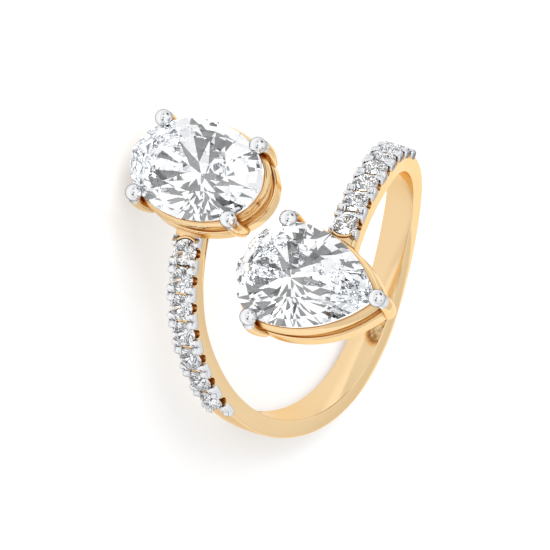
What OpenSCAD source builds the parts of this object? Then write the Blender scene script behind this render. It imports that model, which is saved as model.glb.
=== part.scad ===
// A two-stone bypass ring: an open-topped shank whose two arms pass each other and carry an oval
// and a pear-shaped stone, with a row of small round stones along each arm. Millimetres.
// The ring is built as worn, the finger along Y and the heads up Z, and then laid on its side.

/* [Shank] */
// Inner diameter of the finger hole
finger_d = 17.3; // [16.9:0.1:17.7]
// Thickness at the back of the finger
back_t = 1.4; // [1.2:0.05:1.6]
// Thickness where an arm reaches its head
arm_t = 1.16; // [1.1:0.02:1.3]
// Width at the back of the finger
back_w = 2.16; // [2.0:0.02:2.4]
// Width where an arm reaches its head
arm_w = 1.88; // [1.8:0.02:2.0]
// How far each arm's end stands to its side of the middle
bypass = 5.0; // [4.8:0.1:5.2]
// Angle from the back of the finger to each arm's end
arm_end = 174; // [172:0.5:175]
// Radius of the softened outer edges
edge_r = 0.22; // [0.1:0.02:0.3]
// How much the outside is domed
dome = 0.05; // [0:0.01:0.1]

/* [Heads] */
// Height of both girdles above the finger hole
girdle_up = 3.13; // [3.0:0.05:3.4]
// Oval stone: length, width
oval_size = [9.26, 6.52]; // [6:0.01:10]
// Oval stone: sideways and along-finger place
oval_at = [2.15, 5.06]; // [-6:0.01:6]
// Pear stone: length, width, depth of its round end
pear_size = [9.53, 6.65, 3.32]; // [3:0.01:10]
// Pear stone: place of its widest line
pear_at = [-2.32, -3.55]; // [-6:0.01:6]
// Turn of the pear about its own middle
pear_turn = 1.9; // [0:0.1:4]
// Upper gallery rail: top and bottom below the girdle
upper_rail = [0.16, 1.02]; // [0.1:0.01:1.2]
// Lower gallery rail: top and bottom below the girdle
lower_rail = [1.66, 2.64]; // [1.5:0.01:2.8]
// How far the rails stand out beyond the girdle
rail_out = 0.28; // [0.2:0.01:0.35]

/* [Prongs] */
// Radius of the round tips
tip_r = 0.545; // [0.5:0.005:0.6]
// Height of the tips' centres above the girdle
tip_up = 0.35; // [0.3:0.01:0.45]
// Half width of a prong at its foot
prong_r = 0.46; // [0.4:0.01:0.5]
// Angle from the oval's ends to its prongs
oval_prong = 46; // [40:0.5:50]
// Angle from the pear's round end to its side prongs
pear_prong = 70.5; // [60:0.5:80]

/* [Accent stones] */
// Accent stones on each arm
accents = 7; // [5:1:7]
// Diameter of an accent stone
accent_d = 1.65; // [1.5:0.01:1.66]
// Angle of the first accent stone from the back of the finger: oval's arm, pear's arm
accent_from = [105.6, 106.9]; // [105:0.1:108]
// Angle from one accent stone to the next
accent_pitch = 9.9; // [9.8:0.05:10]

/* [Cut] */
// Clearance between each stone and the metal
seat_gap = 0.05; // [0.03:0.01:0.08]
// Table width of the large stones, as a share of the stone
table_share = 0.58; // [0.5:0.01:0.65]
// Crown height of the large stones, as a share of their width
crown_share = 0.14; // [0.1:0.01:0.17]
// Pavilion depth of the large stones, as a share of their width
pavilion_share = 0.41; // [0.38:0.01:0.42]

/* [How it lies] */
// Angle of the heads above the floor
heads_up = 23.3; // [22:0.1:24]
// Turn about the line through the heads' middle
side_turn = 9.1; // [8:0.1:12]
// Place of the footprint's middle and of the floor, once turned
floor_at = [0, -2.73, -5.064]; // [-12:0.01:12]

/* [Hidden] */
ACCENT_NAMES = [for (side = ["oval", "pear"], i = [1 : accents]) str("accent_", side, "_", i)];

finger_r = finger_d / 2;
girdle_z = finger_r + girdle_up;
big_girdle = 0.22;
// How far the rails reach in under the stones, and how deep the upper rail's seat slopes
rail_in = -0.42;
seat_slope = 0.46;
gold = [0.93, 0.78, 0.55];
diamond = [0.88, 0.92, 0.96, 0.8];

// Share of the bypass that the shank has gained, by angle from the back of the finger
SWEEP = [
    // angle, share
    [0, 0], [25, 0], [50, 0.08], [80, 0.29], [110, 0.525], [140, 0.79], [180, 1.03]
];

function slope_at(t, i) =
    let (a = max(i - 1, 0), b = min(i + 1, len(t) - 1))
    (t[b][1] - t[a][1]) / (t[b][0] - t[a][0]);

// Smooth curve through a table's rows: a cubic on each stretch, with shared slopes
function smooth(t, x, i = 0) =
    i < len(t) - 2 && x > t[i + 1][0] ? smooth(t, x, i + 1) :
    let (h = t[i + 1][0] - t[i][0], u = (x - t[i][0]) / h, v = 1 - u)
    t[i][1] * v * v * (1 + 2 * u) + t[i + 1][1] * u * u * (3 - 2 * u)
        + h * (slope_at(t, i) * u * v * v - slope_at(t, i + 1) * u * u * v);

// The shank by angle, negative towards the oval: side shift, thickness, width
function side_shift(a) = -sign(a) * bypass * smooth(SWEEP, abs(a));
function thick(a) = back_t + (arm_t - back_t) * abs(a) / 180;
function wide(a) = back_w + (arm_w - back_w) * abs(a) / 180;

// A point of the shank: angle from the back, distance from the finger's axis, offset along Y
function on_shank(a, r, y) = [r * sin(a), side_shift(a) + y, -r * cos(a)];

// Outline of a section of the shank as [distance from axis, offset along Y]
function shank_section(a, inner) =
    let (o = finger_r + thick(a), w = wide(a) / 2, e = edge_r)
    concat(
        [[inner, w], [inner, -w]],
        [for (q = [0 : 45 : 90]) [o - dome - e + e * sin(q), -w + e - e * cos(q)]],
        [[o, 0]],
        [for (q = [90 : -45 : 0]) [o - dome - e + e * sin(q), w - e + e * cos(q)]]
    );

// Solid through a row of rings of points, closed by its ends, or joined up where loop is true
module skin(rings, loop = false) {
    n = len(rings);
    m = len(rings[0]);
    walls = [
        for (i = [0 : n - (loop ? 1 : 2)], j = [0 : m - 1])
        let (k = (i + 1) % n, l = (j + 1) % m)
        each [[i * m + j, k * m + l, i * m + l], [i * m + j, k * m + j, k * m + l]]
    ];
    ends = loop ? [] : [
        [for (j = [0 : m - 1]) j],
        [for (j = [m - 1 : -1 : 0]) (n - 1) * m + j]
    ];
    polyhedron([for (r = rings) each r], concat(walls, ends), convexity = 8);
}

// The shank as a bar swept round the finger, still solid a little inside the finger hole
module shank_bar() {
    step = arm_end / 26;
    skin([
        for (a = [-arm_end : step : arm_end + step / 2])
        [for (p = shank_section(a, finger_r - 0.4)) on_shank(a, p[0], p[1])]
    ]);
}

// Stone outlines: s runs 0 to 16 anticlockwise from +X, out is the offset from the girdle
function oval_edge(s, out) =
    let (a = s * 22.5, x = oval_size[1] / 2, y = oval_size[0] / 2, n = [cos(a) / x, sin(a) / y])
    [x * cos(a), y * sin(a)] + out * n / norm(n);

// The pear is a half ellipse, and two arcs from its widest line to the point
function pear_edge(s, out) =
    let (
        x = pear_size[1] / 2, y = pear_size[2], tail = pear_size[0] - y,
        arc_r = (tail * tail + x * x) / (2 * x), span = acos((arc_r - x) / (arc_r + out)),
        a = s * 22.5, n = [cos(a) / x, sin(a) / y],
        b = span * (s < 12 ? s - 8 : 16 - s) / 4, side = s < 12 ? -1 : 1,
        p = s <= 8 ? [x * cos(a), y * sin(a)] + out * n / norm(n)
            : [side * (x - arc_r + (arc_r + out) * cos(b)), -(arc_r + out) * sin(b)]
    )
    [p[0] * cos(pear_turn) - p[1] * sin(pear_turn), p[0] * sin(pear_turn) + p[1] * cos(pear_turn)];

function round_edge(s, out) = (accent_d / 2 + out) * [cos(s * 22.5), sin(s * 22.5)];

// Height at p of the plane through three points
function plane_z(p, a, b, c) =
    let (n = cross(b - a, c - a))
    a[2] - (n[0] * (p[0] - a[0]) + n[1] * (p[1] - a[1])) / n[2];

function raised(p, z) = [p[0], p[1], z];

// A brilliant-cut stone on the outline edge, with its girdle at z 0. Both halves have eight
// kite-shaped main facets at the even places of s and sixteen half facets at the girdle.
module brilliant(edge, table, crown, pavilion, girdle, parts = 4) {
    star = (1 + table * cos(22.5)) / 2;
    low = 0.22;
    star_z = girdle / 2 + crown * (1 - star * cos(22.5)) / (1 - table);
    low_z = -girdle / 2 - pavilion * (1 - low * cos(22.5));
    n = 16 * parts;
    function corner(s, z) = raised(edge(s % 16, 0), z);
    function top_z(k) =
        let (i = floor(k / parts), odd = i % 2 == 0 ? i + 1 : i)
        plane_z(edge(k / parts, 0), corner(i, girdle / 2), corner(i + 1, girdle / 2),
            raised(edge(odd, 0) * star, star_z));
    function foot_z(k) =
        let (i = floor(k / parts), odd = i % 2 == 0 ? i + 1 : i)
        plane_z(edge(k / parts, 0), corner(i, -girdle / 2), corner(i + 1, -girdle / 2),
            raised(edge(odd, 0) * low, low_z));
    points = concat(
        [for (i = [0 : 7]) raised(edge(2 * i, 0) * table, crown + girdle / 2)],
        [for (i = [0 : 7]) raised(edge(2 * i + 1, 0) * star, star_z)],
        [for (k = [0 : n - 1]) raised(edge(k / parts, 0), top_z(k))],
        [for (k = [0 : n - 1]) raised(edge(k / parts, 0), foot_z(k))],
        [for (i = [0 : 7]) raised(edge(2 * i + 1, 0) * low, low_z)],
        [[0, 0, -pavilion - girdle / 2]]
    );
    g = 16;
    f = g + n;
    l = f + n;
    culet = l + 8;
    // Half facets fan from the star or lower point over the girdle points between two corners
    half_fans = [
        for (k = [0 : n - 1])
        let (i = floor(k / parts), tip = floor(i / 2), k2 = (k + 1) % n)
        each [[8 + tip, g + k2, g + k], [l + tip, f + k, f + k2],
              [g + k, g + k2, f + k2], [g + k, f + k2, f + k]]
    ];
    mains = [
        for (i = [0 : 7])
        let (before = (i + 7) % 8, after = (i + 1) % 8, k = 2 * i * parts)
        each [[i, g + k, 8 + before], [i, 8 + i, g + k], [i, after, 8 + i],
              [culet, l + before, f + k], [culet, f + k, l + i]]
    ];
    polyhedron(points, concat([[for (i = [7 : -1 : 0]) i]], half_fans, mains), convexity = 2);
}

// A large stone of the given width
module big_brilliant(edge, width) {
    brilliant(edge, table_share, crown_share * width, pavilion_share * width, big_girdle);
}

// Plain space round a large stone that keeps the prongs clear of it, as [share of its size, height]
module stone_space(edge, width) {
    half = big_girdle / 2 + seat_gap;
    skin([
        for (p = [[0.5, -half - pavilion_share * width / 2], [1, -half], [1, half],
                  [0.76, half + crown_share * width * 0.72]])
        [for (s = [0 : 0.4 : 15.6]) raised(edge(s, seat_gap + 0.01) * p[0], p[1])]
    ]);
}

// Angle of accent stone i on an arm: side is -1 for the oval's arm and 1 for the pear's
function accent_angle(side, i) = side * (accent_from[side < 0 ? 0 : 1] + accent_pitch * i);

// Frame of accent stone i, its girdle at z 0
module at_accent(side, i) {
    a = accent_angle(side, i);
    tilt = atan2(side_shift(a + 1) - side_shift(a - 1), (finger_r + thick(a)) * 2 * PI / 180);
    translate(on_shank(a, finger_r + thick(a), 0))
    rotate([0, 180 - a, 0])
    rotate([0, 0, -tilt])
    children();
}

module accent_cut() {
    brilliant(function(s, out) round_edge(s, out), 0.56, 0.15 * accent_d, 0.4 * accent_d, 0.05, 2);
}

// A gallery rail under a girdle: a rounded band between two depths, its top sloping down inwards
module rail(edge, depths, seat_drop) {
    r = 0.16;
    top = -depths[0];
    foot = -depths[1];
    section = [
        [rail_out - r, top], [rail_out, top - r], [rail_out, foot + r], [rail_out - r, foot],
        [rail_in, foot], [rail_in, top - seat_drop]
    ];
    skin([for (s = [0 : 0.5 : 15.5]) [for (p = section) raised(edge(s, p[0]), p[1])]], loop = true);
}

// Side view of a prong, as [distance out from the girdle, height from it, size]
PRONG_PATH = [
    [0.04, -2.64, 0.55], [0.12, -2.3, 1], [0.3, -1.6, 1], [0.4, -0.75, 0.97], [0.28, 0.2, 0.9]
];

// A prong that stands on the lower rail at place s and curls over the stone to a round tip
module prong(edge, s) {
    middle = edge(s, 0);
    out = edge(s, 1) - middle;
    across = [-out[1], out[0]];
    skin([
        for (p = PRONG_PATH)
        [for (q = [0 : 45 : 315])
            raised(middle + (p[0] + 0.85 * prong_r * p[2] * cos(q)) * out
                + prong_r * p[2] * sin(q) * across, p[1])]
    ]);
    translate(raised(edge(s, 0.25), tip_up)) sphere(tip_r, $fn = 16);
}

module head(edge, width, places) {
    rail(edge, upper_rail, seat_slope);
    rail(edge, lower_rail, 0.1);
    difference() {
        for (s = places) prong(edge, s);
        stone_space(edge, width);
    }
}

// White-tipped posts between neighbouring accent stones, two across the arm
module posts(side) {
    foot = -0.35;
    top = 0.24;
    for (i = [-0.5 : accents - 0.5]) {
        for (edge = [-1, 1])
            at_accent(side, i)
            translate([0, edge * (wide(accent_angle(side, i)) / 2 - 0.17), 0])
            skin([for (p = [[foot, 0], [top - 0.1, 0], [top, 0.1]])
                [for (c = [[1, 1], [-1, 1], [-1, -1], [1, -1]])
                    [c[0] * (0.43 - p[1]), c[1] * (0.21 - p[1]), p[0]]]]);
    }
}

// Seats for the accent stones: a round pocket, a cone below it, and a notch through both sides
module accent_seats(side) {
    sides = 16;
    r = (accent_d / 2 + seat_gap) / cos(180 / sides);
    for (i = [0 : accents - 1])
        at_accent(side, i) {
            skin([
                for (p = [[-0.77, 0.1], [-0.1, r], [0.5, r]])
                [for (q = [0.5 : sides])
                    raised(p[1] * [cos(q * 360 / sides), sin(q * 360 / sides)], p[0])]
            ]);
            rotate([90, 0, 0])
                translate([0, -0.12, 0])
                cylinder(h = 3, r = 0.38, center = true, $fn = 12);
        }
}

// All of the gold, soldered into one piece
module goldwork() {
    difference() {
        union() {
            shank_bar();
            translate([oval_at[0], oval_at[1], girdle_z])
                head(function(s, out) oval_edge(s, out), oval_size[1],
                    [for (x = [-1, 1], y = [-1, 1]) (360 + y * (90 + x * oval_prong)) % 360 / 22.5]);
            translate([pear_at[0], pear_at[1], girdle_z])
                head(function(s, out) pear_edge(s, out), pear_size[1],
                    [(90 - pear_prong) / 22.5, (90 + pear_prong) / 22.5, 12]);
            for (side = [-1, 1]) posts(side);
        }
        for (side = [-1, 1]) accent_seats(side);
    }
}

// The ring as worn, laid on the oval's side: it rests on the shank's edge and the oval's lower rail
module lay_down() {
    translate(-floor_at)
    rotate([heads_up - 90, 0, 180])
    rotate([0, 0, -side_turn])
    children();
}

module mounting() {
    color(gold)
    lay_down()
    difference() {
        resize([0, 0, 0]) goldwork();
        rotate([90, 0, 0]) cylinder(h = 30, r = finger_r, center = true, $fn = 180);
    }
}

module oval_stone() {
    color(diamond)
    lay_down()
    translate([oval_at[0], oval_at[1], girdle_z])
    big_brilliant(function(s, out) oval_edge(s, out), oval_size[1]);
}

module pear_stone() {
    color(diamond)
    lay_down()
    translate([pear_at[0], pear_at[1], girdle_z])
    big_brilliant(function(s, out) pear_edge(s, out), pear_size[1]);
}

module accent_stone(side, i) color(diamond) lay_down() at_accent(side, i) accent_cut();

mounting();
oval_stone();
pear_stone();
for (side = [0, 1], i = [0 : accents - 1])
    accent_stone(side * 2 - 1, i);
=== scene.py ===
import math

import bmesh
import bpy
import numpy as np
from mathutils import Matrix


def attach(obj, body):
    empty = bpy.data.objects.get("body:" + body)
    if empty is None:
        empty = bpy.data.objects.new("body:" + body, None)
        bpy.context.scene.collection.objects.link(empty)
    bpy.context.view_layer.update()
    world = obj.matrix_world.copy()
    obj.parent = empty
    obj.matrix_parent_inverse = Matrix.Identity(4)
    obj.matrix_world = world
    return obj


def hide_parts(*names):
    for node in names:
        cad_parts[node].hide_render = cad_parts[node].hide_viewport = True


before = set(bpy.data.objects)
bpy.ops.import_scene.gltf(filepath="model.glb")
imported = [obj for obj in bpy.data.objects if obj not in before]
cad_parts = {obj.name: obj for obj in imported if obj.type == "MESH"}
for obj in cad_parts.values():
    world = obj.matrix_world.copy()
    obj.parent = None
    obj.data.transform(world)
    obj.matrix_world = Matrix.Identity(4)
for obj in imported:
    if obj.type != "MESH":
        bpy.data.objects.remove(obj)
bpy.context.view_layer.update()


# Shank: a band of yellow gold that passes from the oval's side to the pear's as it goes round the
# finger, widest and thickest at the back. It is cast, filed with rounded edges, drilled for the
# small stones and polished.

# Sizes are in millimetres for the ring as worn, with the finger along Y and the heads up Z.
# Angles go round the finger from the back, positive on the pear's arm, negative on the oval's.
FINGER_RADIUS = 8.65
ARM_END = 174
BACK_WIDTH, WIDTH_LOSS = 2.16, 0.28
BACK_THICKNESS, THICKNESS_LOSS = 1.4, 0.24
INNER_ROUND, OUTER_ROUND, CROWN = 0.07, 0.22, 0.05
SIDE_REACH = 5.0
# Columns: angle from the back, and the share of the side reach that the band has gone by there
SWEEP = np.array([[0, 0], [25, 0], [50, 0.08], [80, 0.29], [110, 0.525], [140, 0.79], [180, 1.03]])


def thickness(angle):
    """It falls evenly with the angle from the back."""
    return BACK_THICKNESS - THICKNESS_LOSS * np.abs(angle) / 180


def width(angle):
    """It falls evenly with the angle from the back."""
    return BACK_WIDTH - WIDTH_LOSS * np.abs(angle) / 180


def side_shift(angle):
    """How far the band stands along Y. Between two rows of the table the share is a cubic, which
    meets both shares and has the slope from row to row on either side of each."""
    x, y = SWEEP.T
    row = np.arange(len(x))
    before, after = np.maximum(row - 1, 0), np.minimum(row + 1, len(x) - 1)
    slope = (y[after] - y[before]) / (x[after] - x[before])
    a = np.abs(angle)
    i = np.clip(np.searchsorted(x, a, side="left") - 1, 0, len(x) - 2)
    h = x[i + 1] - x[i]
    u = (a - x[i]) / h
    v = 1 - u
    share = (y[i] * v * v * (1 + 2 * u) + y[i + 1] * u * u * (3 - 2 * u)
             + h * (slope[i] * u * v * v - slope[i + 1] * u * u * v))
    return -np.sign(angle) * SIDE_REACH * share


def arc(x, y, radius, start, stop, count):
    """Points on part of a circle, given by its middle, its radius and two angles."""
    a = np.radians(np.linspace(start, stop, count))
    return np.column_stack([x + radius * np.cos(a), y + radius * np.sin(a)])


def band(angles):
    """Grid of the band. At each angle the section is two small inner corners and two larger outer
    ones, each a quarter of a circle, and an outside that falls from its middle by the square of
    the distance. The section is then turned round the finger and moved along it."""
    half = width(angles)[:, None] / 2
    top = FINGER_RADIUS + thickness(angles)[:, None]
    inner, outer = FINGER_RADIUS + INNER_ROUND + 0 * half, top - CROWN - OUTER_ROUND
    (c1, s1), (c2, s2), (c3, s3), (c4, s4) = [
        arc(0, 0, 1, start, start + 90, count).T for start, count in ((90, 4), (180, 4), (270, 7), (0, 7))]
    across = np.linspace(-1, 1, 11)[1:-1]
    r = np.hstack([inner + INNER_ROUND * c1, inner + INNER_ROUND * c2, outer + OUTER_ROUND * c3,
                   top - CROWN * across ** 2, outer + OUTER_ROUND * c4])
    y = np.hstack([half - INNER_ROUND * (1 - s1), INNER_ROUND * (1 + s2) - half,
                   OUTER_ROUND * (1 + s3) - half, across * (half - OUTER_ROUND),
                   half - OUTER_ROUND * (1 - s4)])
    t = np.radians(angles)[:, None]
    return np.stack([r * np.sin(t), y + side_shift(angles)[:, None], -r * np.cos(t)], -1)


def turn(axis, degrees):
    """Rotation matrix about one axis, 0 for X, 1 for Y and 2 for Z."""
    c, s = math.cos(math.radians(degrees)), math.sin(math.radians(degrees))
    i, j = [(1, 2), (2, 0), (0, 1)][axis]
    m = np.eye(3)
    m[i, i], m[i, j], m[j, i], m[j, j] = c, -s, s, c
    return m


# The small stones: an arm is -1 for the oval's and 1 for the pear's, and stone 0 is the farthest
# from the head. Angles from the back are those of the stones' middles.
ARMS = ((-1, "oval"), (1, "pear"))
ROW = 7
FIRST_STONE = {-1: 105.6, 1: 106.9}
STONE_PITCH = 9.9


def accent_angle(side, i):
    """Angle of small stone i, a pitch further round for each stone before it."""
    return side * (FIRST_STONE[side] + STONE_PITCH * i)


def set_on(side, i, local):
    """Points in a small stone's own frame, moved onto the arm. X goes along the arm and Z out of
    it, so the points lean with the arm's sideways slope and turn with its angle."""
    a = accent_angle(side, i)
    r = FINGER_RADIUS + thickness(a)
    lean = math.degrees(math.atan2(side_shift(a + 1) - side_shift(a - 1), r * math.radians(2)))
    t = math.radians(a)
    origin = np.array([r * math.sin(t), side_shift(a), -r * math.cos(t)])
    return local @ (turn(1, 180 - a) @ turn(2, -lean)).T + origin


def revolved(profile, count):
    """Grid of a profile of heights and radii turned about Z."""
    z, r = np.array(profile).T[:, :, None]
    q = np.linspace(0, 2 * math.pi, count, endpoint=False)
    return np.stack([r * np.cos(q), r * np.sin(q), z + 0 * q], -1)


def carried_across(outline, reach):
    """Grid of an outline in X and Z carried along Y, from the reach on one side to the other."""
    x, z = outline.T
    y = np.array([[reach], [-reach]])
    return np.stack(np.broadcast_arrays(x, y, z), -1)


# Each stone has a round pocket with a cone below it, and a notch with a round foot that opens
# through both sides of the arm. Round the last stone the metal is cut away in a narrow bevel.
# Columns: height, radius.
POCKET = [(-0.77, 0.1), (-0.1, 0.84), (0.6, 0.84)]
BEVEL = [(-0.3, 0.7), (-0.14, 0.84), (-0.03, 0.93), (0.3, 0.94), (0.6, 0.95)]
NOTCH_HALF, NOTCH_FOOT, NOTCH_TOP, NOTCH_REACH = 0.27, -0.11, 0.7, 1.6

pocket, bevel = revolved(POCKET, 48), revolved(BEVEL, 64)
notch = carried_across(np.vstack([arc(0, NOTCH_FOOT, NOTCH_HALF, 180, 360, 17),
                                  [(NOTCH_HALF, NOTCH_TOP), (-NOTCH_HALF, NOTCH_TOP)]]), NOTCH_REACH)
seats = [(side, i) for side, _ in ARMS for i in range(ROW)]
# Neighbouring pockets all but touch, so every other one is cut in a pass of its own
cuts = [[set_on(side, i, pocket) for side, i in seats if i % 2 == 0],
        [set_on(side, i, pocket) for side, i in seats if i % 2],
        [set_on(side, i, notch) for side, i in seats],
        [set_on(side, ROW - 1, bevel) for side, _ in ARMS]]

# The ring lies on its side, on the shank's edge and the oval's lower rail. So every point is
# turned, moved until the middle of the ring's box is over the origin with its foot on the floor,
# and scaled to metres.
SPIN, LEAN = -9.1, 23.3
LAID = turn(2, 180) @ turn(0, LEAN - 90) @ turn(2, SPIN)
FLOOR = np.array([0, -2.73, -5.064])
METRES = 0.001


def laid_down(points):
    """The points turned, moved and scaled from the ring as worn to the ring on the floor."""
    return ((points @ LAID.T - FLOOR) * METRES).tolist()


def weld(mesh):
    """Points that lie within a fifth of a thousandth of a millimetre become one, which closes
    poles and takes out faces that have no area."""
    welded = bmesh.new()
    welded.from_mesh(mesh)
    bmesh.ops.remove_doubles(welded, verts=welded.verts, dist=2e-7)
    bmesh.ops.dissolve_degenerate(welded, edges=welded.edges, dist=1e-8)
    welded.to_mesh(mesh)
    welded.free()


def smooth(mesh, sharp):
    """Rounded shading, with an edge wherever two faces meet at more than so many degrees."""
    mesh.shade_smooth()
    mesh.set_sharp_from_angle(angle=math.radians(sharp))


def placed(name, mesh):
    """A new object in the scene that shows a mesh."""
    thing = bpy.data.objects.new(name, mesh)
    bpy.context.scene.collection.objects.link(thing)
    return thing


def solid(name, grids, finish, capped=True):
    """A closed mesh of grids of points. Each grid is a function of two parameters, of which the
    second closes on itself. The first does too, unless the grid is capped at both ends."""
    points, quads, caps, first = [], [], [], 0
    for grid in grids:
        # Where the faces look in to the middle rather than away, the grid is taken in reverse
        along, across = grid[1:] - grid[:-1], np.roll(grid, -1, 1)[:-1] - grid[:-1]
        if ((grid[:-1] - grid.mean((0, 1))) * np.cross(along, across)).sum() < 0:
            grid = grid[:, ::-1]
        number = first + np.arange(grid.shape[0] * grid.shape[1]).reshape(grid.shape[:2])
        ahead = np.roll(number, -1, 0)
        corners = np.stack([number, ahead, np.roll(ahead, -1, 1), np.roll(number, -1, 1)], -1)
        if capped:
            corners = corners[:-1]
            caps += [number[0].tolist(), number[-1, ::-1].tolist()]
        quads += corners.reshape(-1, 4).tolist()
        points.append(grid.reshape(-1, 3))
        first += number.size
    mesh = bpy.data.meshes.new(name)
    mesh.from_pydata(laid_down(np.vstack(points)), [], quads + caps)
    weld(mesh)
    mesh.validate()
    smooth(mesh, 40)
    mesh.materials.append(finish)
    return placed(name, mesh)


def fitted(thing, node):
    """The thing rides with the ring and stands in for a node, which is hidden."""
    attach(thing, "root")
    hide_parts(node)


class Socket:
    """A shader value, so that a finish's formula reads as arithmetic."""

    def __init__(self, tree, out=None):
        self.tree, self.out = tree, out

    def fill(self, node, inputs):
        """Gives a node's sockets their values, or links them to values that vary."""
        for key, value in inputs.items():
            if isinstance(value, Socket):
                self.tree.links.new(value.out, node.inputs[key])
            else:
                node.inputs[key].default_value = value

    def node(self, kind, inputs, out=0, **settings):
        """One of a new node's values, by the node's type, its settings and its inputs."""
        made = self.tree.nodes.new(kind)
        for key, value in settings.items():
            setattr(made, key, value)
        self.fill(made, inputs)
        return Socket(self.tree, made.outputs[out])

    def maths(self, operation, a, b=0.0):
        """One step of arithmetic on two values, each of which is a number or varies."""
        return self.node("ShaderNodeMath", {0: a, 1: b}, operation=operation)

    def __add__(self, other):
        return self.maths("ADD", self, other)

    def __radd__(self, other):
        return self.maths("ADD", other, self)

    def __rsub__(self, other):
        return self.maths("SUBTRACT", other, self)

    def __mul__(self, other):
        return self.maths("MULTIPLY", self, other)

    def __rmul__(self, other):
        return self.maths("MULTIPLY", other, self)

    def noise(self, scale, detail=2.0, stretch=(1, 1, 1)):
        """Soft clouds through space, finer along the axes that are stretched."""
        place = self.node("ShaderNodeTexCoord", {}, out="Object")
        place = self.node("ShaderNodeVectorMath", {0: place, 1: stretch}, operation="MULTIPLY")
        return self.node("ShaderNodeTexNoise", {"Vector": place, "Scale": scale, "Detail": detail})

    def ramp(self, value, start, stop, low, high):
        """From low to high as the value goes from start to stop, easing in and out."""
        return self.node("ShaderNodeMapRange", {0: value, 1: start, 2: stop, 3: low, 4: high},
                         interpolation_type="SMOOTHSTEP")

    def openness(self, reach, start, stop):
        """From 0 deep in a gap to 1 in the open, by how much of the reach around is empty. The finishes use
        it to paint shade into gaps.
        """
        free = self.node("ShaderNodeAmbientOcclusion", {"Distance": reach}, out="AO")
        return self.ramp(free, start, stop, 0.0, 1.0)

    def blend(self, factor, a, b):
        """Colour a where the factor is 0 and colour b where it is 1."""
        return self.node("ShaderNodeMix", {0: factor, 6: a, 7: b}, out=2, data_type="RGBA")

    def scratched(self, height, strength):
        """The surface's direction, tilted by marks up to a hundredth of a millimetre deep."""
        return self.node("ShaderNodeBump", {"Height": height, "Strength": strength, "Distance": 1e-5})

    def feed(self, inputs):
        """Gives the material's own shader its values."""
        self.fill(self.tree.nodes["Principled BSDF"], inputs)


def material(name):
    """A new node material, and the maker of its values."""
    made = bpy.data.materials.new(name)
    made.use_nodes = True
    return made, Socket(made.node_tree)


# Warm and bright, with faint cloudiness and hairlines from the polishing wheel. In narrow gaps
# its colour is painted brown: painted shade for the light that goes from gold to gold there.
gold, polish = material("polished_gold")
cloud = polish.noise(260.0, 3.0)
hairlines = polish.noise(900.0, 2.0, (1, 9, 9))
open_gold = polish.blend(cloud, (0.80, 0.595, 0.34, 1), (0.85, 0.64, 0.375, 1))
# The brown of the painted shade in gaps
painted_shade_gold = (0.45, 0.21, 0.06, 1)
polish.feed({
    "Base Color": polish.blend(polish.openness(0.001, 0.25, 0.88), painted_shade_gold, open_gold),
    "Metallic": 1.0,
    "Roughness": 0.07 + 0.06 * cloud,
    "Specular Tint": (1.0, 0.85, 0.62, 1),
    # A faint orange glow is painted light, which warms the gold's darker faces.
    "Emission Color": (1, 0.35, 0.02, 1),
    "Emission Strength": 0.02,
    "Normal": polish.scratched(hairlines, 0.06),
})

shank = solid("shank", [band(np.linspace(-ARM_END, ARM_END, 3 * ARM_END + 1))], gold)
cutters = [solid("cutter", grids, gold) for grids in cuts]
for cutter in cutters:
    cut = shank.modifiers.new("cut", "BOOLEAN")
    cut.operation, cut.solver, cut.object = "DIFFERENCE", "MANIFOLD", cutter
graph = bpy.context.evaluated_depsgraph_get()
finished = bpy.data.meshes.new_from_object(shank.evaluated_get(graph))
shank.modifiers.clear()
shank.data = finished
weld(finished)
smooth(finished, 32)
for cutter in cutters:
    bpy.data.objects.remove(cutter)
fitted(shank, "mounting")


# Posts: between neighbouring small stones stand two blocks, one at each side of the arm, and two
# narrower ones end the row at the head. They are plated white, each is split by a groove into two
# beads, and they are hollowed to the round stones that they hold.
POST_HALF_LENGTH, POST_HALF_WIDTH, POST_HALF_HEIGHT = 0.53, 0.31, 0.32
POST_MIDDLE, POST_PROUD = -0.09, 0.012
SQUARE_SIDES, SQUARE_TOP = 0.3, 0.45
GROOVE_DEPTH, GROOVE_WIDTH, END_FALL = 0.2, 0.07, 0.1
# The stones on both sides of a post: how far away, the reach of their girdles and its height
STONE_AWAY, STONE_REACH, GIRDLE_TOP, CROWN_SLOPE = 0.868, 0.838, 0.02, 0.8
# The narrow posts at the end are cut off a little way towards the head, and the others are not
END_HALF_WIDTH, END_CUT, UNCUT = 0.19, 0.12, 0.6

white, plating = material("white_plating")
cloud = plating.noise(420.0, 3.0)
open_white = plating.blend(cloud, (0.74, 0.75, 0.77, 1), (0.84, 0.845, 0.86, 1))
# Deep in gaps the plating's colour is painted grey: painted shade.
painted_shade_grey = (0.25, 0.25, 0.28, 1)
plating.feed({
    "Base Color": plating.blend(plating.openness(0.0003, 0.3, 0.9), painted_shade_grey, open_white),
    "Metallic": 1.0,
    "Roughness": 0.05 + 0.06 * cloud,
    "Specular Tint": (0.2, 0.2, 0.22, 1),
    "Normal": plating.scratched(plating.noise(1500.0), 0.08),
})


def squared(x, power):
    """A sine or cosine that leaves 0 and reaches 1 sooner, by a power below one."""
    return np.sign(x) * np.abs(x) ** power


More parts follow.
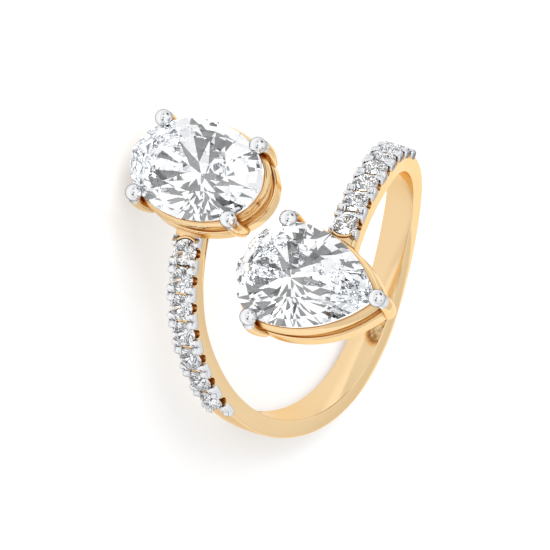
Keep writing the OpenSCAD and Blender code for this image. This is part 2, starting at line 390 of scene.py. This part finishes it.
def post(side, i, edge, half_width, headward):
    """Grid of a ball made boxy by powers of its sines and cosines. Its top has a groove shaped as
    a bell curve, and falls towards both ends by the cube of the distance. Its flanks keep clear of
    the stones by the chord of a circle, which shrinks above the girdle as a crown does. edge is
    the side of the arm, and headward is where the post is cut off towards the head."""
    u = np.linspace(-math.pi / 2, math.pi / 2, 25)[:, None]
    v = np.linspace(0, 2 * math.pi, 44, endpoint=False)[None, :]
    x = POST_HALF_LENGTH * squared(np.cos(u), SQUARE_SIDES) * squared(np.cos(v), SQUARE_SIDES)
    y = half_width * squared(np.cos(u), SQUARE_SIDES) * squared(np.sin(v), SQUARE_SIDES)
    z = POST_MIDDLE + POST_HALF_HEIGHT * squared(np.sin(u), SQUARE_TOP) + 0 * v
    groove = GROOVE_DEPTH * np.exp(-(x / GROOVE_WIDTH) ** 2)
    z = z - np.where(z > 0, groove + END_FALL * (np.abs(x) / POST_HALF_LENGTH) ** 3, 0)
    y = y + edge * (width(accent_angle(side, i)) / 2 + POST_PROUD - half_width)
    reach = STONE_REACH - np.clip(z - GIRDLE_TOP, 0, None) / CROWN_SLOPE
    chord = np.sqrt(np.clip(reach ** 2 - y ** 2, 0, None))
    x = np.sign(x) * np.minimum(np.abs(x), STONE_AWAY - chord)
    x = -side * np.minimum(-side * x, headward)
    return set_on(side, i, np.stack([x, y, z], -1))


for side, head in ARMS:
    grids = [post(side, i - 0.5, edge, POST_HALF_WIDTH, UNCUT) for i in range(ROW) for edge in (-1, 1)]
    grids += [post(side, ROW - 0.5, edge, END_HALF_WIDTH, END_CUT) for edge in (-1, 1)]
    fitted(solid(head + "_arm_posts", grids, white), "mounting")


# Arches: at the head a rounded gold wire closes each row, bent round the last stone and soldered
# down between the two narrow posts.
ARCH_RADIUS, ARCH_HALF_SPAN, ARCH_HEIGHT, WIRE_RADIUS = 0.955, 54, -0.01, 0.085


def arch(side):
    """Grid of part of a ring with a round section, in the last stone's own frame."""
    a = np.radians(np.linspace(-ARCH_HALF_SPAN, ARCH_HALF_SPAN, 35))[:, None]
    v = np.linspace(0, 2 * math.pi, 18, endpoint=False)[None, :]
    r = ARCH_RADIUS + WIRE_RADIUS * np.cos(v)
    z = ARCH_HEIGHT + WIRE_RADIUS * np.sin(v) + 0 * a
    return set_on(side, ROW - 1, np.stack([-side * r * np.cos(a), r * np.sin(a), z], -1))


for side, head in ARMS:
    fitted(solid(head + "_arm_arch", [arch(side)], gold), "mounting")


# Baskets: each large stone sits in two gold gallery rails that follow its outline, one above the
# other. A rail has a slope inside, a narrow bright ridge on top, a fine line under it and a broad
# face.
OVAL_HALF_WIDTH, OVAL_HALF_LENGTH = 3.26, 4.63
PEAR_HALF_WIDTH, PEAR_ROUND_LENGTH, PEAR_TAIL, PEAR_TWIST = 3.325, 3.32, 6.21, 1.9


def rounded_edge(a, half_width, half_length, out):
    """Points on an ellipse at parameter a, moved outwards along its normal."""
    p = np.stack([half_width * np.cos(a), half_length * np.sin(a)], -1)
    n = np.stack([np.cos(a) / half_width, np.sin(a) / half_length], -1)
    return p + out[..., None] * n / np.linalg.norm(n, axis=-1, keepdims=True)


def oval_edge(s, out):
    """Outline of the oval, out from its girdle; s runs 0 to 16 anticlockwise from +X."""
    return rounded_edge(np.radians(np.asarray(s) * 22.5), OVAL_HALF_WIDTH, OVAL_HALF_LENGTH, np.asarray(out))


def pear_edge(s, out):
    """Outline of the pear, out from its girdle, with s as for the oval. Half an ellipse is its
    round end, and two arcs run from the widest place to meet in a point, where s is 12."""
    s, out = np.asarray(s), np.asarray(out)
    radius = (PEAR_TAIL ** 2 + PEAR_HALF_WIDTH ** 2) / (2 * PEAR_HALF_WIDTH)
    middle, reach = PEAR_HALF_WIDTH - radius, radius + out
    b = np.arccos(-middle / reach) * np.where(s < 12, s - 8, 16 - s) / 4
    side = np.where(s < 12, -1, 1)
    tail = np.stack([side * (middle + reach * np.cos(b)), -reach * np.sin(b)], -1)
    end = rounded_edge(np.radians(s * 22.5), PEAR_HALF_WIDTH, PEAR_ROUND_LENGTH, out)
    return np.where((s <= 8)[..., None], end, tail) @ turn(2, PEAR_TWIST)[:2, :2].T


# Each head's outline, and the middle of its stone's girdle
HEADS = {"oval": (oval_edge, np.array([2.15, 5.06, 11.78])),
         "pear": (pear_edge, np.array([-2.32, -3.55, 11.78]))}

# A rail's section, by distance out from the girdle and height, in this order: its ridge, the fine
# line below it, its face down to a round foot, its inner foot, and the inside up to the ridge
UPPER_RAIL = [arc(0.0, -0.3, 0.06, 90, 0, 5), [(0.045, -0.35), (0.045, -0.38), (0.075, -0.41)],
              arc(0.08, -0.86, 0.13, 0, -90, 7), arc(-0.36, -0.93, 0.06, -90, -180, 4),
              [(-0.42, -0.67), (-0.38, -0.62), (-0.15, -0.4), (-0.05, -0.28), (-0.03, -0.25)]]
LOWER_RAIL = [arc(0.08, -1.76, 0.08, 90, 0, 5), [(0.145, -1.82), (0.145, -1.86), (0.175, -1.89)],
              arc(0.1, -2.52, 0.12, 0, -90, 7), arc(-0.36, -2.58, 0.06, -90, -180, 4),
              arc(-0.36, -1.74, 0.06, 180, 90, 4)]


def rail(head, section):
    """Grid of a section carried round a head, each of its points at its own distance out."""
    edge, middle = HEADS[head]
    out, z = np.vstack(section).T
    ring = edge(np.linspace(0, 16, 256, endpoint=False)[:, None], out)
    grid = np.concatenate([ring, np.broadcast_to(z[:, None], ring.shape[:2] + (1,))], -1)
    return grid[:, ::-1] + middle


for head in HEADS:
    grids = [rail(head, UPPER_RAIL), rail(head, LOWER_RAIL)]
    fitted(solid(head + "_basket", grids, gold, capped=False), "mounting")


# Claws: rounded gold bars that start under the lower rail, bulge a little outwards and lean in
# over the stone, each ending in a white ball on a short white collar. Bars and balls are filed
# flat where they bear on the stone.

# Columns: place on the head's outline, and how far out the middle of the ball is
CLAWS = {"oval": [(2.04, 0.18), (6.17, 0.26), (10.12, 0.32), (14.01, 0.27)],
         "pear": [(0.84, 0.1), (7.18, 0.18), (12.0, 0.25)]}
# Columns: height, and how far out the middle of the bar is, up to where it leans to its ball
BAR_PATH = np.array([[-2.66, 0.06], [-2.3, 0.15], [-1.95, 0.27], [-1.6, 0.37], [-1.2, 0.45],
                     [-0.75, 0.5], [-0.3, 0.49]])
# Columns: height, and how much further out than the ball the bar is there
BAR_TOP = np.array([[0.2, 0.1], [0.3, 0.05]])
# Columns: height, and the bar's size as a share of its half depth and half width
BAR_TAPER = np.array([[-2.3, 1.0], [-0.75, 0.97], [0.3, 0.88]])
BAR_HALF_DEPTH, BAR_HALF_WIDTH = 0.39, 0.46
FOOT_TOP, FOOT_DEPTH, FOOT_SHARE = -2.3, 0.365, 0.0004
COLLAR_PROUD = 0.06
BALL_RADIUS, BALL_HEIGHT, POLE_GAP = 0.545, 0.35, 0.02
# How the claws bear on the stone: the gap at its girdle, and the slopes of its crown and back
GIRDLE_GAP, GIRDLE_HALF, OVER_CROWN, UNDER_BACK = 0.02, 0.11, 1.35, 1.1
# Heights of the rings of points on a bar, which crowd together at its round foot, and on a collar
BAR_HEIGHTS = np.concatenate([-2.66 + 0.36 * (1 - np.cos(np.linspace(0.1, math.pi / 2, 7))),
                              np.linspace(-2.26, 0.3, 27)])
COLLAR_HEIGHTS = np.linspace(-0.2, 0.28, 9)


def bearing(z):
    """How near the girdle's outline a claw may come at a height: nearer over the crown and under
    the girdle, in proportion to the distance from the girdle's edges."""
    over, under = np.clip(z - GIRDLE_HALF, 0, None), np.clip(z + GIRDLE_HALF, None, 0)
    return GIRDLE_GAP - over * OVER_CROWN + under * UNDER_BACK


def at_claw(head, s, away, across, z):
    """Points given by distance out from the outline at s, distance along it and height."""
    edge, middle = HEADS[head]
    foot = edge(s, 0.0)
    out = edge(s, 1.0) - foot
    out = out / np.linalg.norm(out)
    flat = foot + away[..., None] * out + across[..., None] * np.array([-out[1], out[0]])
    return middle + np.concatenate([flat, z[..., None]], -1)


def claw(head, s, ball_out, heights, proud):
    """Grid of ellipses stacked along a leaning path. Below the foot's top they shrink as a ball's
    sections do, and none comes nearer to the stone than the claw bears on it."""
    z = heights[:, None]
    top = BAR_TOP + (0, ball_out)
    path = np.interp(z, *np.vstack([BAR_PATH, top]).T)
    size = np.interp(z, *BAR_TAPER.T) + proud
    size = size * np.sqrt(np.clip(1 - (np.clip(FOOT_TOP - z, 0, None) / FOOT_DEPTH) ** 2, FOOT_SHARE, 1))
    q = np.linspace(0, 2 * math.pi, 28, endpoint=False)
    away = np.maximum(path + BAR_HALF_DEPTH * size * np.cos(q), bearing(z))
    return at_claw(head, s, away, BAR_HALF_WIDTH * size * np.sin(q), z + 0 * q)


def ball(head, s, ball_out):
    """Grid of a sphere, flattened where it bears on the crown."""
    u = np.linspace(-math.pi / 2 + POLE_GAP, math.pi / 2 - POLE_GAP, 33)[:, None]
    v = np.linspace(0, 2 * math.pi, 48, endpoint=False)[None, :]
    z = BALL_HEIGHT + BALL_RADIUS * np.sin(u) + 0 * v
    away = np.maximum(ball_out + BALL_RADIUS * np.cos(u) * np.cos(v), bearing(z))
    return at_claw(head, s, away, BALL_RADIUS * np.cos(u) * np.sin(v), z)


for head, places in CLAWS.items():
    bars = [claw(head, s, ball_out, BAR_HEIGHTS, 0) for s, ball_out in places]
    balls = [ball(head, s, ball_out) for s, ball_out in places]
    collars = [claw(head, s, ball_out, COLLAR_HEIGHTS, COLLAR_PROUD) for s, ball_out in places]
    fitted(solid(head + "_claws", bars, gold), "mounting")
    fitted(solid(head + "_tips", balls + collars, white), "mounting")


# Stones: diamonds in brilliant cuts. The crown has a table, eight star facets, eight kites and
# sixteen half facets. The back has a steeper ring of sixteen under the girdle, then sixteen half
# facets and eight kites that meet at the culet.
diamond, water = material("diamond")
water.feed({
    "Base Color": water.blend(water.noise(300.0), (0.97, 0.98, 1.0, 1), (1.0, 1.0, 1.0, 1)),
    "Metallic": 0.0,
    "Roughness": 0.0,
    "IOR": 1.9,
    "Transmission Weight": 1.0,
})
# The back returns nearly all the light that the crown lets in, so its facets are mirrors. A few
# of them are painted darker: painted shade for the dark reflections that a cut stone shows.
diamond_back, mirror = material("diamond_back")
facet_brightness = mirror.node("ShaderNodeAttribute", {}, out="Fac", attribute_name="painted_brightness")
clear = mirror.blend(mirror.noise(300.0), (0.96, 0.97, 0.98, 1), (1.0, 1.0, 1.0, 1))
mirror.feed({
    # Facets with a lower painted brightness are blended towards black: painted shade.
    "Base Color": mirror.blend(facet_brightness, (0.0, 0.0, 0.0, 1), clear),
    "Metallic": 1.0,
    "Roughness": 0.0,
})

# Widths on the back as shares of the outline, and how much steeper it is above the bend
BEND, LOW_TIP, STEEPER = 0.64, 0.2, 1.12
# How bright a facet of the back is painted, darker as painted shade: a few of the ring under the girdle, the
# darkest half facets and a few kites
PAINTED_DIM_RING, PAINTED_DARK_HALF, PAINTED_DIM_KITE = 0.85, 0.22, 0.3


def height_of_plane(p, a, b, c):
    """Height at p of the plane through a, b and c, whose normal is the product of two edges."""
    n = np.cross(b - a, c - a)
    return a[..., 2] - ((p - a[..., :2]) * n[..., :2]).sum(-1) / n[..., 2]


def raised(xy, z):
    """Points in the plane, put at a height or at a height each."""
    return np.column_stack([xy, np.broadcast_to(z, len(xy))])


def cut_points(edge, table, crown, pavilion, girdle, parts):
    """Points of a stone from its table down to its culet, with so many parts of the girdle to
    each sixteenth. Widths are shares of the outline, and corners rise or fall in proportion to
    their distance in from it. The girdle's heights are those where it meets the plane through a
    chord of the outline and the next corner inwards."""
    star, half = (1 + table * math.cos(math.pi / 8)) / 2, girdle / 2
    star_z = half + crown * (1 - star * math.cos(math.pi / 8)) / (1 - table)
    bend_z = -half - pavilion * (1 - BEND) * STEEPER
    low_z = bend_z - (pavilion + half + bend_z) * (1 - LOW_TIP / BEND * math.cos(math.pi / 8))
    ring, corners = edge(np.arange(16 * parts) / parts), edge(np.arange(16.0))
    i = np.arange(16 * parts) // parts
    odd, after = i + (i + 1) % 2, (i + 1) % 16
    top_z = height_of_plane(ring, raised(corners[i], half), raised(corners[after], half),
                            raised(corners[odd] * star, star_z))
    foot_z = height_of_plane(ring, raised(corners[i], -half), raised(corners[after], -half),
                             raised(corners[i] * BEND, bend_z))
    return np.vstack([raised(corners[::2] * table, crown + half), raised(corners[1::2] * star, star_z),
                      raised(ring, top_z), raised(ring, foot_z), raised(corners * BEND, bend_z),
                      raised(corners[1::2] * LOW_TIP, low_z), [(0, 0, -pavilion - half)]])


def facets(parts, shaded_sixteenths):
    """Corners of each facet of the crown, corners of each facet of the back, and how bright each
    facet of the back is painted, the darker ones as painted shade. A sixteenth q has a half facet
    above the girdle, the girdle itself, one facet of the ring below it and one half facet of the
    back. Then an eighth q has a kite and a star facet on the crown, and a kite on the back."""
    n = 16 * parts
    upper, lower, bends, tips, culet = 16, 16 + n, 16 + 2 * n, 32 + 2 * n, 40 + 2 * n
    front, back, painted_brightness = [list(range(8))], [], []
    for q in range(16):
        k = [(q * parts + step) % n for step in range(parts + 1)]
        front.append([8 + q // 2] + [upper + step for step in k])
        back += [[upper + a, lower + a, lower + b, upper + b] for a, b in zip(k, k[1:])]
        back.append([bends + q, bends + (q + 1) % 16] + [lower + step for step in k[::-1]])
        back.append([tips + q // 2, bends + (q + 1) % 16, bends + q])
        painted_brightness += [1.0] * parts + [PAINTED_DIM_RING if q % 5 == 2 else 1.0, PAINTED_DARK_HALF if q in shaded_sixteenths else 1.0]
    for q in range(8):
        before, after = (q + 7) % 8, (q + 1) % 8
        front += [[q, 8 + before, upper + 2 * q * parts, 8 + q], [q, 8 + q, after]]
        back.append([culet, tips + q, bends + 2 * q, tips + before])
        painted_brightness.append(PAINTED_DIM_KITE if q in (1, 6) else 1.0)
    return front, back, painted_brightness


def brilliant(node, edge, place, table, crown, pavilion, girdle, parts, shaded_sixteenths):
    """A stone on an outline. place moves its points from the stone's own frame, and the last
    argument gives the sixteenths whose half facet on the back is painted darker, as painted shade."""
    front, back, painted_brightness = facets(parts, shaded_sixteenths)
    mesh = bpy.data.meshes.new(node + "_cut")
    points = cut_points(edge, table, crown, pavilion, girdle, parts)
    mesh.from_pydata(laid_down(place(points)), [], front + back)
    mesh.materials.append(diamond)
    mesh.materials.append(diamond_back)
    mesh.polygons.foreach_set("material_index", [0] * len(front) + [1] * len(back))
    share = mesh.attributes.new("painted_brightness", "FLOAT", "FACE")
    share.data.foreach_set("value", [1.0] * len(front) + painted_brightness)
    fitted(placed(node + "_cut", mesh), node)


# Columns: head, the stone's width, and its sixteenths whose half facet on the back is painted darker as
# painted shade
LARGE_STONES = (("oval", 6.52, (0, 5, 10, 15)), ("pear", 6.65, (0, 3, 5, 7, 14)))
SMALL_WIDTH, SMALL_SHADED_SIXTEENTHS = 1.65, (0, 3, 5, 10, 13, 15)


def small_edge(s):
    """Circle of a small stone's girdle; s runs 0 to 16."""
    return SMALL_WIDTH / 2 * np.stack([np.cos(s * math.pi / 8), np.sin(s * math.pi / 8)], -1)


for head, across, shaded_sixteenths in LARGE_STONES:
    edge, middle = HEADS[head]
    brilliant(head + "_stone", lambda s: edge(s, 0.0), lambda p: p + middle, table=0.58,
              crown=0.14 * across, pavilion=0.41 * across, girdle=0.22, parts=6, shaded_sixteenths=shaded_sixteenths)
for side, head in ARMS:
    for i in range(ROW):
        brilliant("accent_" + head + "_" + str(i + 1), small_edge, lambda p: set_on(side, i, p),
                  table=0.56, crown=0.15 * SMALL_WIDTH, pavilion=0.4 * SMALL_WIDTH, girdle=0.05,
                  parts=3, shaded_sixteenths=SMALL_SHADED_SIXTEENTHS)


# Floor: a wide sheet of matt white paper, which glows a little with the light behind it. The ring
# lies on it.
PAPER_REACH = 2
paper, sheet = material("white_paper")
sheet.feed({
    "Base Color": sheet.blend(sheet.noise(40.0, 4.0), (0.50, 0.50, 0.50, 1), (0.53, 0.53, 0.53, 1)),
    "Roughness": 0.7,
    "Emission Color": (1, 1, 1, 1),
    "Emission Strength": 0.42,
})
mesh = bpy.data.meshes.new("floor")
mesh.from_pydata([(x * PAPER_REACH, y * PAPER_REACH, 0) for x, y in ((-1, -1), (1, -1), (1, 1), (-1, 1))],
                 [], [(0, 1, 2, 3)])
mesh.materials.append(paper)
floor = placed("floor", mesh)


# Camera: a long lens at the photograph's angle to the ring, which puts it 47 degrees up. Its three
# turns and its place are given for the ring as worn, as every other point is.
AROUND, OVER, ROLL = -22.7318, 29.5398, -46.1469
VIEW = turn(2, AROUND) @ turn(0, OVER) @ turn(2, ROLL)
RIGHT_OF_MIDDLE, ABOVE_MIDDLE, DISTANCE = -2.7866, 0.8585, 337.6153
matrix = np.eye(4)
matrix[:3, :3] = LAID @ VIEW
matrix[:3, 3] = laid_down(VIEW @ (RIGHT_OF_MIDDLE, ABOVE_MIDDLE, DISTANCE))
camera = placed("camera", bpy.data.cameras.new("camera"))
camera.matrix_world = Matrix(matrix.tolist())
camera.data.lens = 350.66
camera.data.sensor_width = 36.0
camera.data.clip_start = 0.01
bpy.context.scene.camera = camera


# Light: a white studio, a little brighter above and in front, with dark cards for the metal and
# the facets to mirror. A wide soft box to the side draws a faint shadow along the band and is not
# mirrored.
BOX_AZIMUTH, BOX_HEIGHT, BOX_WIDTH, BOX_STRENGTH = -158, 38, 55, 2.6
lamp = bpy.data.lights.new("soft_box", "SUN")
lamp.energy, lamp.angle = BOX_STRENGTH, math.radians(BOX_WIDTH)
soft_box = placed("soft_box", lamp)
soft_box.visible_glossy = False
aim = turn(2, BOX_AZIMUTH + 90) @ turn(0, 90 - BOX_HEIGHT)
soft_box.matrix_world = Matrix(aim.tolist()).to_4x4()

# The studio's brightness at the horizon and above, and what is added in front
HORIZON, OVERHEAD, IN_FRONT = 0.87, 1.1, 0.12
# Dark cards, in columns: direction, half its width in degrees, and the share of light that it leaves
CARDS = (((0.26, -0.64, 0.73), 9, 0.08), ((-0.5, -0.71, 0.5), 8, 0.08), ((0.71, -0.5, 0.5), 12, 0.08),
         ((-0.75, 0.13, 0.64), 15, 0.1), ((0.32, 0.56, 0.77), 8, 0.12))
SOFT_RIM = 0.7

world = bpy.data.worlds.new("studio")
bpy.context.scene.world = world
world.use_nodes = True
studio = Socket(world.node_tree)
to_sky = studio.node("ShaderNodeTexCoord", {}, out="Generated")


def toward(direction):
    """How nearly a ray goes in a direction, as a cosine."""
    unit = np.array(direction) / np.linalg.norm(direction)
    return studio.node("ShaderNodeVectorMath", {0: to_sky, 1: unit}, out=1, operation="DOT_PRODUCT")


light = (studio.ramp(toward((0, 0, 1)), 0.0, 1.0, HORIZON, OVERHEAD)
         + studio.ramp(toward((0, -1, 0.6)), 0.2, 0.9, 0.0, IN_FRONT))
for direction, degrees, left in CARDS:
    rim, inside = math.cos(math.radians(degrees + SOFT_RIM)), math.cos(math.radians(degrees))
    light = light * studio.ramp(toward(direction), rim, inside, 1.0, left)
# What the camera itself sees of the studio is plain white
direct = studio.node("ShaderNodeLightPath", {}, out="Is Camera Ray")
light = light * (1.0 - direct) + direct
studio.fill(world.node_tree.nodes["Background"], {"Color": (1, 1, 1, 1), "Strength": light})

# Colours are shown plainly, and light may turn often enough to find its way out of the stones
BOUNCES = 40
bpy.context.scene.view_settings.view_transform = "Standard"
bpy.context.scene.cycles.max_bounces = BOUNCES
bpy.context.scene.cycles.transmission_bounces = BOUNCES
bpy.context.scene.cycles.glossy_bounces = BOUNCES
